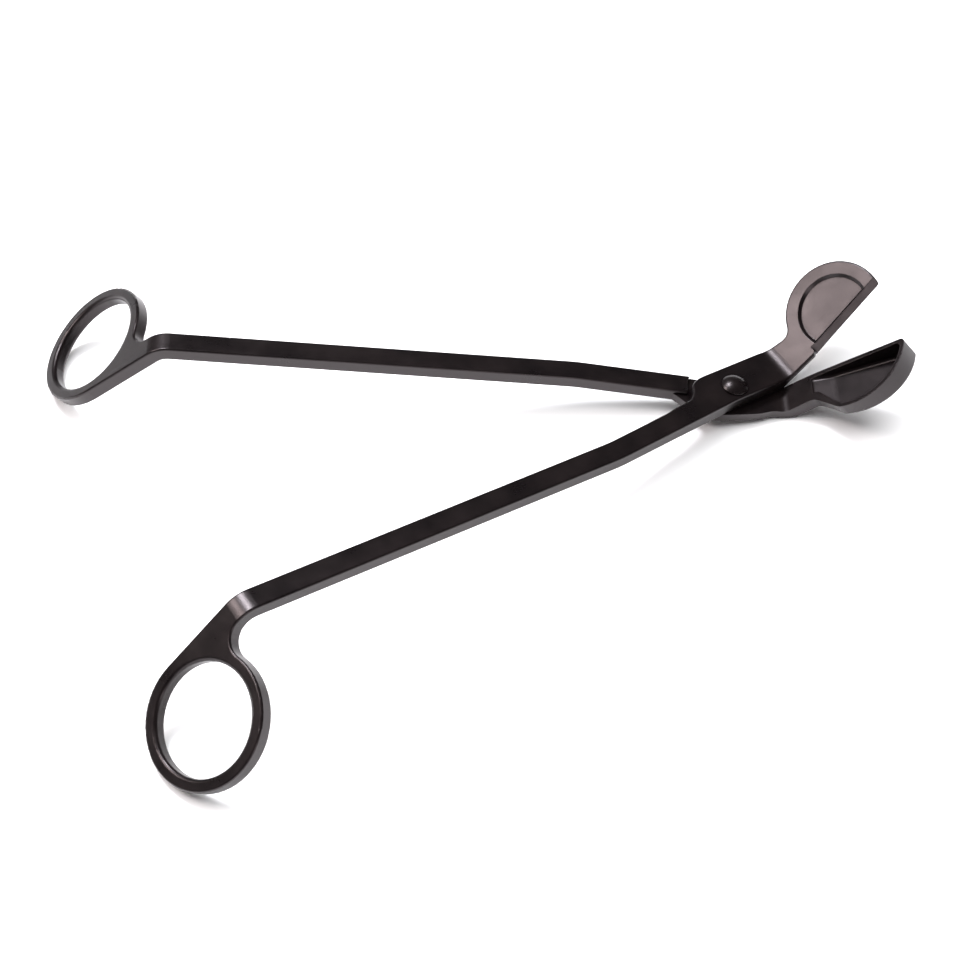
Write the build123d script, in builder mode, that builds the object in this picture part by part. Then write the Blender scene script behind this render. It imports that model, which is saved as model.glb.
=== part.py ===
from build123d import *
import math
import os

# Wick trimmer: two forged steel levers that turn on one rivet.
# Everything is drawn in the hinge frame first: X runs from the rivet to the jaws, Z runs up the rivet,
# and z = 0 is the face where the two necks slide on each other. Both levers are drawn the same way
# round, with the finger ring on -Y, and the cup lever is mirrored. At the end both are opened by the
# same angle and set down on the table, head towards +X, with the origin under the middle.

# Handle
arm_width = 4.9
arm_thickness = 3.2
edge_round = 0.45
hole_round = 0.8
ring_corner = (-122.0, -2.63)
elbow = (-33.5, -3.42)
arm_end = (0.0, -0.93)
elbow_radius = 40.0
ring_bend_angle = 47.2
bend_inner_radius = 3.0
ring_centre = (20.1, 11.75)
ring_outer_radius = 13.9
ring_hole_radius = 11.2
web_fillet = 4.0

# Pivot
lap_depth = 0.9
lap_gap = 0.05
lap_relief = 0.1
boss_radius = 9.6
seat_radius = 9.8
shank_radius = 2.0
running_clearance = 0.05
rivet_head_radius = 2.85
rivet_head_height = 1.45
rivet_tail_radius = 2.6
rivet_tail_height = 0.55
rivet_brim = 0.25

# Jaws: s runs up the sloping contact plane from the bend, q runs sideways
jaw_angle = 44.2
bend_x = 11.4
blade_thickness = 1.42
edge_offset = -3.91
edge_land = 0.06
edge_slope = 0.08
edge_start = 10.4
jaw_gap = 0.2
blade_heel_radius = 6.0
blade_throat_radius = 4.0
cup_throat_radius = 2.5
cup_heel_radius = 6.0
blade_centre = (19.5, 1.0)
blade_radius = 11.0
blade_root_radius = 2.6
pocket_radius = 8.05
pocket_depth = 0.6
bevel_width = 1.4
bevel_setback = 0.3
bevel_clear = 4
heel_relief_width = 1.8
heel_relief_depth = 0.35
pocket_inset = 1.2
pocket_taper = 45
neck_side = 5.4
inner_side = -3.5
taper_start = 1.6
blade_root = (8.6, 4.15)
blade_flare_start = -20.0
blade_bar_side = -0.25
blade_flare_run = (1, 0.2)
blade_flare_points = [(-16, 0.55), (-12.6, 0.9), (-10.5, 1.35), (-9.2, 2.7), (-8.2, 4.2), (-6.6, 5.1)]
blade_neck_back = -4
blade_neck_front = 9.3
blade_back = -3
blade_underside_relief = [(-22, 0.1), (-22, 7), (0, 7), (0, -1.8)]
blade_tip_round = 0.8
blade_shoulder_round = 8.0
cup_centre = (16.7, -3.25)
cup_radius = 12.7
cup_wall = 0.85
cup_round = 0.6
cup_root_depth = 3.2
cup_tip_depth = 6.1
cup_floor = 1.1
well_knee_round = 6.0
well_lip = 6.6
well_mouth = (6.9, -0.4)
well_floor_start = 11.2
well_root_points = [(7.9, 2.2), (6.2, 1.9), (6.2, -2.4)]
well_flank_shift = 0.7
well_corner_round = 0.9
well_foot_round = 0.7
cup_root = 6.9
cup_side = 3.45
cup_inner_side = -3.4
cup_flank_end = 12.2
cup_flare_start = -17.0
cup_flare_end = 9.8
cup_flare_run = (-1, -0.1)
cup_flare_points = [(6.8, 4.2), (2, 5.1), (-3, 5.7), (-7.5, 4.8), (-12.5, 0.8)]
cup_bar_side = -1.2
cup_neck_front = 12.5
cup_back = -1
cup_edge_start = 4
cup_edge_end = 9
cup_knee = 11
cup_corner_round = 3.0
cup_tip_round = 1.0
cup_knee_round = 12.0
jaw_end = 34.0
head_width = 60.0

# How far the outline solids reach below their sketch planes, and their depth
neck_cut_below = 10
neck_cut_depth = 20
blade_cut_below = 3
blade_cut_depth = 10
cup_cut_below = 12
cup_cut_depth = 14

# Margins for telling edges and faces apart
radius_match = 0.01
rim_band = 0.08
joint_band = 0.1
upward = 0.7
downward = 0.5

# Rest pose: how far the levers are opened, and the tilt that sets them down on three points
opening = 31.4
rest_pitch = 8.821
rest_roll = 1.224

half_arm = arm_width / 2
neck_underside = lap_depth - arm_thickness


def edge_line(s):
    """Sideways place of the cutting edge, s millimetres up the jaw."""
    return edge_offset + edge_slope * s


def near_circle(edge, radius):
    """True for a round edge of this radius."""
    return edge.geom_type == GeomType.CIRCLE and abs(edge.radius - radius) < radius_match


# Hollow curve between the web and the finger ring
web_curve_y = half_arm + web_fillet
web_reach = ring_outer_radius + web_fillet
web_curve_x = ring_centre[0] - math.sqrt(web_reach**2 - (ring_centre[1] - web_curve_y) ** 2)
web_line_end = (web_curve_x, half_arm)
web_ring_end = (
    ring_centre[0] + (web_curve_x - ring_centre[0]) * ring_outer_radius / web_reach,
    ring_centre[1] + (web_curve_y - ring_centre[1]) * ring_outer_radius / web_reach,
)

# Planes of the handle: one along the bar at the ring bend, one in the finger ring
bar_run = Vector(ring_corner[0] - elbow[0], ring_corner[1] - elbow[1], 0).normalized()
outward = Vector(0, 0, 1).cross(bar_run)
bend_outer_radius = bend_inner_radius + arm_thickness
setback = bend_outer_radius * math.tan(math.radians(ring_bend_angle / 2))
corner = Vector(ring_corner[0], ring_corner[1], arm_thickness)
bend_start = corner - bar_run * setback
bend_centre = bend_start - Vector(0, 0, bend_outer_radius)
ring_x = bar_run.rotate(Axis((0, 0, 0), outward), ring_bend_angle)
ring_z = Vector(0, 0, 1).rotate(Axis((0, 0, 0), outward), ring_bend_angle)
ring_plane = Plane(origin=corner, x_dir=ring_x, z_dir=ring_z)
section_plane = Plane(origin=bend_start, x_dir=outward, z_dir=bar_run)

# Inner side of the bar runs on as a straight line that just touches the ring
inner_dx = ring_centre[0] - setback
inner_dy = ring_centre[1] + half_arm
inner_far = math.hypot(inner_dx, inner_dy)
touch_angle = math.atan2(-inner_dy, -inner_dx) + math.acos(ring_outer_radius / inner_far)
inner_touch = (
    ring_centre[0] + ring_outer_radius * math.cos(touch_angle),
    ring_centre[1] + ring_outer_radius * math.sin(touch_angle),
)
ring_far = (ring_centre[0] + ring_outer_radius, ring_centre[1])

with BuildPart() as ring_plate:
    # Web and finger ring; on the outer side the web runs into the ring in a hollow curve
    with BuildSketch(ring_plane):
        with BuildLine():
            Line((setback, -half_arm), (setback, half_arm))
            Line((setback, half_arm), web_line_end)
            RadiusArc(web_ring_end, web_line_end, web_fillet)
            ThreePointArc(web_ring_end, ring_far, inner_touch)
            Line(inner_touch, (setback, -half_arm))
        make_face()
        with Locations(ring_centre):
            Circle(ring_hole_radius, mode=Mode.SUBTRACT)
    extrude(amount=-arm_thickness)
    level_edges = ring_plate.edges().filter_by(lambda edge: abs(edge.tangent_at(0).dot(ring_z)) < 0.5)
    hole_edges = level_edges.filter_by(lambda edge: near_circle(edge, ring_hole_radius))
    start_edges = level_edges.sort_by_distance(corner + ring_x * setback)[:1]
    start_edges += level_edges.sort_by_distance(corner + ring_x * setback - ring_z * arm_thickness)[:1]
    fillet(level_edges - hole_edges - start_edges, edge_round)
    hole_edges = ring_plate.edges().filter_by(lambda edge: near_circle(edge, ring_hole_radius))
    fillet(hole_edges, hole_round)

with BuildPart() as handle:
    # Bar, with its slight elbow
    with BuildLine(Plane.XY.offset(arm_thickness)) as centre_line:
        Polyline((bend_start.X, bend_start.Y), elbow, arm_end)
        fillet(centre_line.vertices().sort_by(Axis.X)[1], radius=elbow_radius)
    with BuildSketch(section_plane):
        with Locations((0, -arm_thickness / 2)):
            RectangleRounded(arm_width, arm_thickness, edge_round)
    sweep(path=centre_line.wire())
    # Bend down to the ring
    with BuildSketch(section_plane):
        with Locations((0, -arm_thickness / 2)):
            RectangleRounded(arm_width, arm_thickness, edge_round)
    revolve(axis=Axis(bend_centre, outward), revolution_arc=ring_bend_angle)
    add(ring_plate.part)


# Plane of the jaws: its X is s, its Y is q and its Z points away from the cup
jaw_tilt = math.radians(jaw_angle)
jaw_x = Vector(math.cos(jaw_tilt), 0, math.sin(jaw_tilt))
jaw_z = Vector(-math.sin(jaw_tilt), 0, math.cos(jaw_tilt))
jaw_plane = Plane(origin=(bend_x, 0, 0), x_dir=jaw_x, z_dir=jaw_z)


def jaw_point(s, w):
    """Side view of the jaw: s up the contact plane and w away from the cup, as X and Z."""
    return (bend_x + s * jaw_x.X + w * jaw_z.X, s * jaw_x.Z + w * jaw_z.Z)


def bend_point(z, w):
    """Side view of the corner between a neck face at height z and a jaw face at offset w."""
    return (bend_x + (z - w / math.cos(jaw_tilt)) / math.tan(jaw_tilt), z)


def tip_point(centre, radius, inset=0.0, side=1):
    """Where a circle meets a line beside the cutting edge: the far point for side 1, the near one for -1."""
    offset = edge_offset + inset
    a = 1 + edge_slope**2
    b = edge_slope * (offset - centre[1]) - centre[0]
    c = centre[0] ** 2 + (offset - centre[1]) ** 2 - radius**2
    s = (-b + side * math.sqrt(b**2 - a * c)) / a
    return (s, offset + edge_slope * s)


def circle_point(centre, radius, s):
    """Point of a circle at s, on the side away from the cutting edge."""
    return (s, centre[1] + math.sqrt(radius**2 - (s - centre[0]) ** 2))


def border(faces):
    """Edges round a run of faces: the ones that only one of them has."""
    edges = faces.edges()
    return edges.filter_by(lambda edge: sum(edge.is_same(other) for other in edges) == 1)


def jaw_corner(s, q):
    """Point of the contact plane in the hinge frame."""
    return Vector(bend_x, q, 0) + jaw_x * s


def edge_near(edges, point):
    """The edge that passes nearest to a point."""
    return edges.sort_by_distance(point)[0]


def side_point(point):
    """Point of the side view, given as X and Z, in the hinge frame."""
    return Vector(point[0], 0, point[1])


# Blade lever. The hollow curve at the blade's root touches both the neck's side and the blade's arc.
blade_tip = tip_point(blade_centre, blade_radius)
edge_angle = math.atan(edge_slope)
edge_run = jaw_x * math.cos(edge_angle) + Vector(0, math.sin(edge_angle), 0)
bevel_start = edge_start + bevel_setback
bevel_plane = Plane(
    origin=jaw_corner(bevel_start, edge_line(bevel_start)),
    x_dir=jaw_z.cross(edge_run),
    z_dir=edge_run,
)
pocket_tip = tip_point(blade_centre, pocket_radius, pocket_inset)
pocket_root = tip_point(blade_centre, pocket_radius, pocket_inset, side=-1)
neck_corner = Vector(taper_start, neck_side)
root_run = (Vector(*blade_root) - neck_corner).normalized()
root_side = Vector(-root_run.Y, root_run.X)
to_root = neck_corner + root_side * blade_root_radius - Vector(*blade_centre)
root_along = to_root.dot(root_run)
root_reach = blade_radius + blade_root_radius
root_travel = -root_along - math.sqrt(root_along**2 - to_root.length**2 + root_reach**2)
root_start = neck_corner + root_run * root_travel
root_centre = root_start + root_side * blade_root_radius
arc_start = root_centre + (Vector(*blade_centre) - root_centre).normalized() * blade_root_radius
arc_top = (blade_centre[0], blade_centre[1] + blade_radius)

with BuildPart() as blade_outline:
    with BuildSketch(jaw_plane.offset(-blade_cut_below)):
        with BuildLine():
            Polyline(
                (root_start.X, root_start.Y),
                (taper_start, neck_side),
                (blade_back, neck_side),
                (blade_back, inner_side),
                (edge_start - 0.5, inner_side),
                (edge_start, edge_line(edge_start)),
                blade_tip,
            )
            ThreePointArc(blade_tip, arc_top, (arc_start.X, arc_start.Y))
            TangentArc(
                (root_start.X, root_start.Y),
                (arc_start.X, arc_start.Y),
                tangent=(root_run.X, root_run.Y),
            )
        make_face()
    extrude(amount=blade_cut_depth)
    upright = blade_outline.edges().filter_by(Axis((0, 0, 0), jaw_z))
    fillet(edge_near(upright, jaw_corner(*blade_tip)), blade_tip_round)
    upright = blade_outline.edges().filter_by(Axis((0, 0, 0), jaw_z))
    fillet(edge_near(upright, jaw_corner(taper_start, neck_side)), blade_shoulder_round)
    with BuildSketch(Plane.XY.offset(-neck_cut_below)):
        with BuildLine():
            Polyline(
                (blade_neck_back, neck_side),
                (blade_neck_front, neck_side),
                (blade_neck_front, inner_side),
                (blade_flare_start, inner_side),
                (blade_flare_start, blade_bar_side),
            )
            Spline(
                (blade_flare_start, blade_bar_side),
                *blade_flare_points,
                (blade_neck_back, neck_side),
                tangents=[blade_flare_run, (1, 0)],
            )
        make_face()
    extrude(amount=neck_cut_depth)

with BuildPart() as drawn_blade:
    # Side view: flat neck, then the thinner blade sloping up from the bend
    with BuildSketch(Plane.XZ):
        Polygon(
            (blade_flare_start, 0),
            (bend_x, 0),
            jaw_point(jaw_end, 0),
            jaw_point(jaw_end, blade_thickness),
            bend_point(arm_thickness, blade_thickness),
            (blade_flare_start, arm_thickness),
            align=None,
        )
    extrude(amount=head_width / 2, both=True)
    across = drawn_blade.edges().filter_by(Axis.Y)
    heel = edge_near(across, (bend_x, 0, 0))
    throat = edge_near(across, (bend_x, 0, arm_thickness))
    fillet(heel, blade_heel_radius)
    fillet(throat, blade_throat_radius)
    add(blade_outline.part, mode=Mode.INTERSECT)
    # Rounded upper edges; the one along the cutting edge is ground away next
    upper_faces = drawn_blade.faces().filter_by(lambda face: face.normal_at().dot(jaw_z) > upward)
    fillet(border(upper_faces).filter_by(lambda edge: edge.center().Y > 0), edge_round)
    upper_faces = drawn_blade.faces().filter_by(lambda face: face.normal_at().dot(jaw_z) > upward)
    inner_rim = border(upper_faces).filter_by(lambda edge: edge.center().Y < inner_side + rim_band)
    fillet(inner_rim, edge_round)
    add(handle.part)
    # Ground bevel along the cutting edge
    with BuildSketch(bevel_plane):
        Polygon(
            (0, edge_land),
            (bevel_width, blade_thickness),
            (bevel_width, bevel_clear),
            (-bevel_clear, bevel_clear),
            (-bevel_clear, edge_land),
            align=None,
        )
    extrude(amount=jaw_end, mode=Mode.SUBTRACT)
    # Shallow D-shaped pocket in the blade's upper face
    with BuildSketch(jaw_plane.offset(blade_thickness)):
        with BuildLine():
            Line(pocket_root, pocket_tip)
            ThreePointArc(pocket_tip, (blade_centre[0], blade_centre[1] + pocket_radius), pocket_root)
        make_face()
    extrude(amount=-pocket_depth, taper=pocket_taper, mode=Mode.SUBTRACT)
    # Lower inner corner eased so that it passes over the root of the cup as the jaws close
    with BuildSketch(Plane(origin=(bend_x, 0, 0), x_dir=(0, 1, 0), z_dir=jaw_x)):
        Polygon(
            (inner_side + heel_relief_width, 0),
            (inner_side - 1, -1),
            (inner_side - 1, heel_relief_depth),
            (inner_side, heel_relief_depth),
            align=None,
        )
    extrude(amount=edge_start, mode=Mode.SUBTRACT)
    # Underside cut away where it passes over the cup lever's bar
    with BuildSketch(Plane.XY.offset(-1)):
        Polygon(*blade_underside_relief, align=None)
        Circle(boss_radius, mode=Mode.SUBTRACT)
    extrude(amount=1 + lap_depth + lap_relief, mode=Mode.SUBTRACT)
    Hole(shank_radius + running_clearance)

# Cup lever, drawn the same way round as the blade lever and mirrored at the end
cup_tip = tip_point(cup_centre, cup_radius)
cup_arc_start = circle_point(cup_centre, cup_radius, cup_flank_end)
well_radius = cup_radius - cup_wall
well_tip = tip_point(cup_centre, well_radius, cup_wall)
well_arc_start = circle_point(cup_centre, well_radius, cup_flank_end + well_flank_shift)
floor_root = cup_floor - cup_root_depth
floor_tip = cup_floor - cup_tip_depth
heel_point = bend_point(neck_underside, -cup_root_depth)
throat_point = bend_point(-lap_gap, -jaw_gap)
knee_point = jaw_point(cup_knee, -cup_root_depth)
toe_point = jaw_point(cup_tip[0], -cup_tip_depth)

with BuildPart() as cup_outline:
    with BuildSketch(jaw_plane.offset(-cup_cut_below)):
        with BuildLine():
            Polyline(
                cup_arc_start,
                (cup_root, cup_side),
                (cup_back, cup_side),
                (cup_back, cup_inner_side),
                (cup_edge_start, cup_inner_side),
            )
            Spline(
                (cup_edge_start, cup_inner_side),
                (cup_edge_end, edge_line(cup_edge_end)),
                tangents=[(1, 0), (1, edge_slope)],
            )
            Line((cup_edge_end, edge_line(cup_edge_end)), cup_tip)
            ThreePointArc(cup_tip, (cup_centre[0], cup_centre[1] + cup_radius), cup_arc_start)
        make_face()
    extrude(amount=cup_cut_depth)
    upright = cup_outline.edges().filter_by(Axis((0, 0, 0), jaw_z))
    hollow_corner = edge_near(upright, jaw_corner(cup_root, cup_side))
    flank_corner = edge_near(upright, jaw_corner(*cup_arc_start))
    fillet([hollow_corner, flank_corner], cup_corner_round)
    upright = cup_outline.edges().filter_by(Axis((0, 0, 0), jaw_z))
    fillet(edge_near(upright, jaw_corner(*cup_tip)), cup_tip_round)
    with BuildSketch(Plane.XY.offset(-neck_cut_below)):
        with BuildLine():
            Polyline(
                (cup_flare_start, cup_bar_side),
                (cup_flare_start, cup_inner_side),
                (cup_neck_front, cup_inner_side),
                (cup_neck_front, cup_side),
                (cup_flare_end, cup_side),
            )
            Spline(
                (cup_flare_end, cup_side),
                *cup_flare_points,
                (cup_flare_start, cup_bar_side),
                tangents=[(-1, 0), cup_flare_run],
            )
        make_face()
    extrude(amount=neck_cut_depth)

with BuildPart() as cup_well:
    with BuildSketch(Plane.XZ):
        Polygon(
            jaw_point(well_lip, 1),
            jaw_point(*well_mouth),
            jaw_point(well_floor_start, floor_root),
            jaw_point(cup_tip[0], floor_tip),
            jaw_point(jaw_end, floor_tip),
            jaw_point(jaw_end, 1),
            align=None,
        )
    extrude(amount=head_width / 2, both=True)
    across = cup_well.edges().filter_by(Axis.Y)
    ramp_foot = edge_near(across, side_point(jaw_point(well_floor_start, floor_root)))
    deep_end = edge_near(across, side_point(jaw_point(cup_tip[0], floor_tip)))
    fillet([ramp_foot, deep_end], well_knee_round)
    with BuildSketch(jaw_plane.offset(-cup_cut_below)):
        with BuildLine():
            Polyline(well_arc_start, *well_root_points, well_tip)
            ThreePointArc(well_tip, (cup_centre[0], cup_centre[1] + well_radius), well_arc_start)
        make_face()
    extrude(amount=cup_cut_depth, mode=Mode.INTERSECT)
    # Rounded corners and a rounded foot to the wall all round
    upright = cup_well.edges().filter_by(Axis((0, 0, 0), jaw_z))
    fillet(upright, well_corner_round)
    well_floor = cup_well.faces().filter_by(lambda face: face.normal_at().dot(jaw_z) < -downward)
    fillet(border(well_floor), well_foot_round)

with BuildPart() as drawn_cup:
    # Side view: flat neck, then the cup, which deepens towards its tip
    with BuildSketch(Plane.XZ):
        Polygon(
            (cup_flare_start, neck_underside),
            heel_point,
            knee_point,
            toe_point,
            jaw_point(jaw_end, -cup_tip_depth),
            jaw_point(jaw_end, -jaw_gap),
            throat_point,
            (cup_flare_start, -lap_gap),
            align=None,
        )
    extrude(amount=head_width / 2, both=True)
    across = drawn_cup.edges().filter_by(Axis.Y)
    heel = edge_near(across, side_point(heel_point))
    throat = edge_near(across, side_point(throat_point))
    knee = edge_near(across, side_point(knee_point))
    toe = edge_near(across, side_point(toe_point))
    fillet(heel, cup_heel_radius)
    fillet(throat, cup_throat_radius)
    fillet([knee, toe], cup_knee_round)
    add(cup_outline.part, mode=Mode.INTERSECT)
    # Rounded lower edges
    under_faces = drawn_cup.faces().filter_by(lambda face: face.normal_at().dot(jaw_z) < -upward)
    under_rim = border(under_faces).filter_by(lambda edge: edge.center().X > cup_flare_start + joint_band)
    fillet(under_rim, cup_round)
    add(handle.part.moved(Location((0, 0, neck_underside))))
    # Round seat that the blade lever's neck turns in
    with BuildSketch(Plane.XY.offset(-lap_gap)):
        Circle(seat_radius)
    extrude(amount=lap_depth + 1, mode=Mode.SUBTRACT)
    add(cup_well.part, mode=Mode.SUBTRACT)
    Hole(shank_radius)


def dome_middle(radius, height):
    """Halfway point along the side view of a dome: its distance from the axis and its drop from the top."""
    ball_radius = (radius**2 + height**2) / (2 * height)
    half_angle = math.asin(radius / ball_radius) / 2
    return (ball_radius * math.sin(half_angle), ball_radius * (1 - math.cos(half_angle)))


# Rivet, pressed into the cup lever, with a low domed head above the blade lever
head_base = arm_thickness + lap_gap
head_top = head_base + rivet_head_height
brim_top = head_base + rivet_brim
tail_end = neck_underside - rivet_tail_height
head_out, head_drop = dome_middle(rivet_head_radius, head_top - brim_top)
tail_out, tail_drop = dome_middle(rivet_tail_radius, rivet_tail_height)

with BuildPart() as drawn_rivet:
    with BuildSketch(Plane.XZ):
        with BuildLine():
            Line((0, head_top), (0, tail_end))
            ThreePointArc(
                (0, tail_end),
                (tail_out, tail_end + tail_drop),
                (rivet_tail_radius, neck_underside),
            )
            Polyline(
                (rivet_tail_radius, neck_underside),
                (shank_radius, neck_underside),
                (shank_radius, head_base),
                (rivet_head_radius, head_base),
                (rivet_head_radius, brim_top),
            )
            ThreePointArc(
                (rivet_head_radius, brim_top),
                (head_out, head_top - head_drop),
                (0, head_top),
            )
        make_face()
    revolve(axis=Axis.Z)

# Opened for the rest pose and tilted to lie on both rings and the bend of the cup lever
tilt = Rotation(rest_roll, 0, 0) * Rotation(0, rest_pitch, 0)
turned_blade = drawn_blade.part.moved(tilt * Rotation(0, 0, opening / 2))
turned_cup = mirror(drawn_cup.part, about=Plane.XZ).moved(tilt * Rotation(0, 0, -opening / 2))
turned_rivet = drawn_rivet.part.moved(tilt)

# Moved so that the origin is on the table, under the middle of the whole trimmer
boxes = [turned_blade.bounding_box(), turned_cup.bounding_box(), turned_rivet.bounding_box()]
middle_x = (min(box.min.X for box in boxes) + max(box.max.X for box in boxes)) / 2
middle_y = (min(box.min.Y for box in boxes) + max(box.max.Y for box in boxes)) / 2
lowest = min(box.min.Z for box in boxes)
shift = Location((-middle_x, -middle_y, -lowest))

with BuildPart() as blade_lever:
    add(turned_blade.moved(shift))

with BuildPart() as cup_lever:
    add(turned_cup.moved(shift))

with BuildPart() as pivot_rivet:
    add(turned_rivet.moved(shift))

os.makedirs("parts", exist_ok=True)

blade_lever.part.label = "blade_lever"
export_step(blade_lever.part, "parts/blade_lever.step")

cup_lever.part.label = "cup_lever"
export_step(cup_lever.part, "parts/cup_lever.step")

pivot_rivet.part.label = "pivot_rivet"
export_step(pivot_rivet.part, "parts/pivot_rivet.step")
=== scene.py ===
"""Wick trimmer in satin black steel, lying open on a white table."""

import math

import bpy
from mathutils import Matrix, Vector

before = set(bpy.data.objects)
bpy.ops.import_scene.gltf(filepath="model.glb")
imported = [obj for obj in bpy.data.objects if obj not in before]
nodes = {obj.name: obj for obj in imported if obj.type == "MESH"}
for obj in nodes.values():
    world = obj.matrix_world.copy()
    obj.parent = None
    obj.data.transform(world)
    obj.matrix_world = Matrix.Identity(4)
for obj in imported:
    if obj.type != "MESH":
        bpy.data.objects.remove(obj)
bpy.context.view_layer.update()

# Camera, in the row frame
CAMERA_PLACE = Vector((-0.10109, -0.31420, 0.40445))
CAMERA_AIM = Vector((-0.00632, -0.00245, 0.0))
CAMERA_ROLL = math.radians(-0.634)
FOCAL_MM = 92.916
SENSOR_MM = 36.0

NEAREST = 0.01

# Colours
BLACK = (0.0022, 0.0016, 0.0018)
BLACK_WARM = (0.0050, 0.0034, 0.0034)
SHEEN = (1.0, 0.90, 0.92)
TABLE = (0.93, 0.93, 0.94)
ROOM_COLOUR = (1.0, 0.97, 0.98)
WHITE = (1, 1, 1)

# Steel surface: noise scales are per metre and lengths are in metres
LEVER_ROUGHNESS = 0.28
RIVET_ROUGHNESS = 0.25
GLOSS = 0.5
NOISE_TURN = math.radians(15.7)
GRAIN_SCALE = (180, 3200, 3200)
MOTTLE_SCALE = 140.0
SPECK_SCALE = 5200.0
TONE_FROM_MOTTLE = 0.8
TONE_FROM_GRAIN = 0.25
ROUGHER = 0.05
SMOOTHER = 0.04
ROUGHNESS_FROM_GRAIN = 0.06
# Painted shade in inside corners: how far the occlusion looks and how much it dims the gloss
CORNER_SHADE_REACH = 0.0011
CORNER_SHADE_DARK = 0.45
CORNER_SHADE_CLEAR = 0.95
CORNER_SHADE_SAMPLES = 8
BUMP_STRENGTH = 0.10
BUMP_DEPTH = 0.00006
BUMP_FROM_GRAIN = 0.7
EDGE_ROUND = 0.00022
EDGE_SAMPLES = 6

# Table surface
TABLE_ROUGHNESS = 0.55
TABLE_GLOSS = 0.25
TABLE_SIDE = 6.0

# Room and lamps
ROOM_STRENGTH = 0.06
CEILING_WATTS = 60
BEND_WATTS = 12
FACE_WATTS = 4.8
FRONT_WATTS = 1.6
COOL = (0.95, 0.95, 1)
WARM = (1, 0.90, 0.88)
ROSY = (1, 0.92, 0.93)

# Sockets of the colour mix node
MIX_FACTOR = 0
MIX_FIRST = 6
MIX_SECOND = 7
MIX_RESULT = 2


class Nodes:
    """Short way of adding shader nodes to one material."""

    def __init__(self, name):
        self.material = bpy.data.materials.new(name)
        self.material.use_nodes = True
        self.tree = self.material.node_tree
        self.tree.nodes.clear()
        self.output = self.add("ShaderNodeOutputMaterial")

    def add(self, kind, **settings):
        node = self.tree.nodes.new(kind)
        for name, value in settings.items():
            setattr(node, name, value)
        return node

    def link(self, source, target):
        self.tree.links.new(source, target)

    def noise(self, vector, scale, detail, roughness):
        node = self.add("ShaderNodeTexNoise")
        node.inputs["Scale"].default_value = scale
        node.inputs["Detail"].default_value = detail
        node.inputs["Roughness"].default_value = roughness
        self.link(vector, node.inputs["Vector"])
        return node.outputs["Fac"]

    def spread(self, value, low, high, out_low, out_high):
        node = self.add("ShaderNodeMapRange")
        node.inputs["From Min"].default_value = low
        node.inputs["From Max"].default_value = high
        node.inputs["To Min"].default_value = out_low
        node.inputs["To Max"].default_value = out_high
        self.link(value, node.inputs["Value"])
        return node.outputs["Result"]

    def mix_colour(self, factor, first, second):
        node = self.add("ShaderNodeMix", data_type="RGBA")
        node.inputs[MIX_FIRST].default_value = (*first, 1)
        node.inputs[MIX_SECOND].default_value = (*second, 1)
        self.link(factor, node.inputs[MIX_FACTOR])
        return node.outputs[MIX_RESULT]

    def stretched(self, vector, scale, turn):
        node = self.add("ShaderNodeMapping")
        node.inputs["Rotation"].default_value = turn
        node.inputs["Scale"].default_value = scale
        self.link(vector, node.inputs["Vector"])
        return node.outputs["Vector"]

    def add_up(self, first, second, share):
        node = self.add("ShaderNodeMath", operation="MULTIPLY_ADD")
        self.link(second, node.inputs[0])
        node.inputs[1].default_value = share
        self.link(first, node.inputs[2])
        return node.outputs["Value"]


def black_steel(name, noise_turn, roughness):
    """Black coated steel: satin, faintly warm, with a fine grain along X, a little mottling and
    painted shade in inside corners.

    noise_turn gives each lever a pattern of its own.
    """
    n = Nodes(name)
    place = n.add("ShaderNodeTexCoord").outputs["Object"]
    grain_place = n.stretched(place, GRAIN_SCALE, (0, 0, noise_turn))
    grain = n.noise(grain_place, 1.0, detail=3.0, roughness=0.6)
    mottle = n.noise(place, MOTTLE_SCALE, detail=5.0, roughness=0.55)
    speck = n.noise(place, SPECK_SCALE, detail=2.0, roughness=0.6)
    surface = n.add("ShaderNodeBsdfPrincipled")
    patch_tone = n.spread(mottle, 0.35, 0.65, 0.0, TONE_FROM_MOTTLE)
    tone = n.add_up(patch_tone, grain, TONE_FROM_GRAIN)
    n.link(n.mix_colour(tone, BLACK, BLACK_WARM), surface.inputs["Base Color"])
    patch_roughness = n.spread(mottle, 0.3, 0.7, roughness - SMOOTHER, roughness + ROUGHER)
    n.link(n.add_up(patch_roughness, grain, ROUGHNESS_FROM_GRAIN), surface.inputs["Roughness"])
    surface.inputs["Specular Tint"].default_value = (*SHEEN, 1)
    # Painted shade: the gloss is turned down in inside corners, standing in for the shade that
    # falls there
    corner_shade = n.add("ShaderNodeAmbientOcclusion", samples=CORNER_SHADE_SAMPLES)
    corner_shade.inputs["Distance"].default_value = CORNER_SHADE_REACH
    painted_shade_gloss = n.spread(corner_shade.outputs["AO"], CORNER_SHADE_DARK, CORNER_SHADE_CLEAR, 0.0, GLOSS)
    n.link(painted_shade_gloss, surface.inputs["Specular IOR Level"])
    # Sharp edges catch the light as if slightly broken, and the grain and specks roughen the rest
    edge = n.add("ShaderNodeBevel", samples=EDGE_SAMPLES)
    edge.inputs["Radius"].default_value = EDGE_ROUND
    bump = n.add("ShaderNodeBump")
    bump.inputs["Strength"].default_value = BUMP_STRENGTH
    bump.inputs["Distance"].default_value = BUMP_DEPTH
    n.link(n.add_up(speck, grain, BUMP_FROM_GRAIN), bump.inputs["Height"])
    n.link(edge.outputs["Normal"], bump.inputs["Normal"])
    n.link(bump.outputs["Normal"], surface.inputs["Normal"])
    n.link(surface.outputs["BSDF"], n.output.inputs["Surface"])
    return n.material


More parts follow.
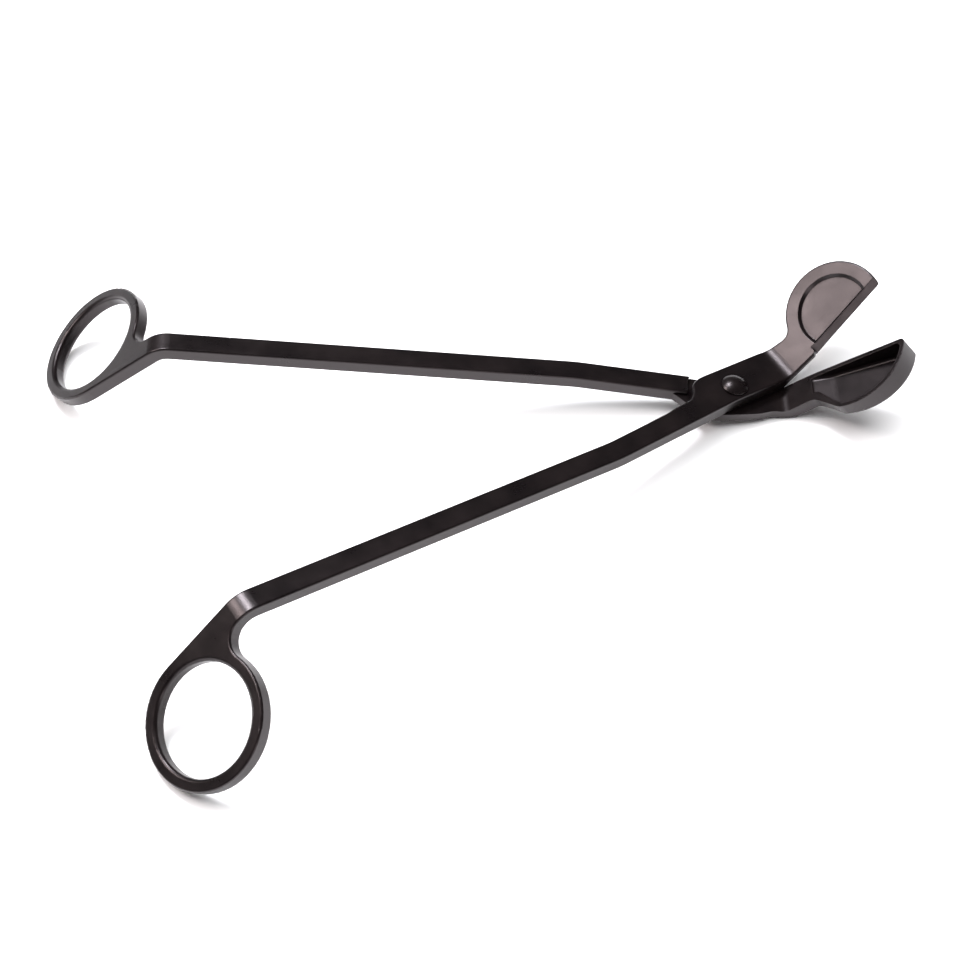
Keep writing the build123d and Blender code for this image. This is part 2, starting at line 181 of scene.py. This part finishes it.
def table_top():
    """Matt white table."""
    n = Nodes("table_top")
    surface = n.add("ShaderNodeBsdfPrincipled")
    surface.inputs["Base Color"].default_value = (*TABLE, 1)
    surface.inputs["Roughness"].default_value = TABLE_ROUGHNESS
    surface.inputs["Specular IOR Level"].default_value = TABLE_GLOSS
    n.link(surface.outputs["BSDF"], n.output.inputs["Surface"])
    return n.material


def paint(node, material):
    """Gives every face of a CAD node one material."""
    mesh = node.data
    mesh.materials.clear()
    mesh.materials.append(material)


def soft_light(name, place, aim, size, watts, colour):
    """Rectangular lamp that points at a spot."""
    lamp = bpy.data.lights.new(name, "AREA")
    lamp.shape = "RECTANGLE"
    lamp.size, lamp.size_y = size
    lamp.energy = watts
    lamp.color = colour
    holder = bpy.data.objects.new(name, lamp)
    bpy.context.scene.collection.objects.link(holder)
    holder.location = place
    holder.rotation_euler = (Vector(aim) - Vector(place)).to_track_quat("-Z", "Y").to_euler()
    return holder


# Steel
paint(nodes["blade_lever"], black_steel("blade_lever_steel", -NOISE_TURN, LEVER_ROUGHNESS))
paint(nodes["cup_lever"], black_steel("cup_lever_steel", NOISE_TURN, LEVER_ROUGHNESS))
paint(nodes["pivot_rivet"], black_steel("rivet_steel", 0, RIVET_ROUGHNESS))

# Table
bpy.ops.mesh.primitive_plane_add(size=TABLE_SIDE, location=(0, 0, 0))
table = bpy.context.object
table.name = "table"
table.data.materials.append(table_top())

# Light: a dim room, a wide ceiling for the table, and three soft lamps that show in the steel:
# one for the bends, one for the blade's face and a faint one in front for the bevel
bpy.context.scene.view_settings.view_transform = "Standard"
world = bpy.data.worlds.new("studio")
bpy.context.scene.world = world
world.use_nodes = True
background = world.node_tree.nodes["Background"]
background.inputs["Color"].default_value = (*ROOM_COLOUR, 1)
background.inputs["Strength"].default_value = ROOM_STRENGTH
ceiling = soft_light("ceiling", (0.1, 0.3, 1.5), (0, 0, 0), (2.2, 2.2), CEILING_WATTS, WHITE)
ceiling.visible_glossy = False
soft_light("bend_lamp", (-0.24, 0.52, 1.05), (0, 0, 0), (0.32, 0.24), BEND_WATTS, COOL)
soft_light("face_lamp", (-0.70, 0.26, 0.76), (0.07, 0, 0), (0.32, 0.32), FACE_WATTS, WARM)
soft_light("front_lamp", (0.10, -1.0, 0.42), (0.06, 0, 0), (0.35, 0.25), FRONT_WATTS, ROSY)

# Camera
lens = bpy.data.cameras.new("camera")
lens.lens = FOCAL_MM
lens.sensor_width = SENSOR_MM
lens.clip_start = NEAREST
camera = bpy.data.objects.new("camera", lens)
bpy.context.scene.collection.objects.link(camera)
back = (CAMERA_PLACE - CAMERA_AIM).normalized()
level = Vector((0, 0, 1)).cross(back).normalized()
right = Matrix.Rotation(CAMERA_ROLL, 3, back) @ level
up = back.cross(right)
axes = Matrix((right, up, back)).transposed().to_4x4()
camera.matrix_world = Matrix.Translation(CAMERA_PLACE) @ axes
bpy.context.scene.camera = camera
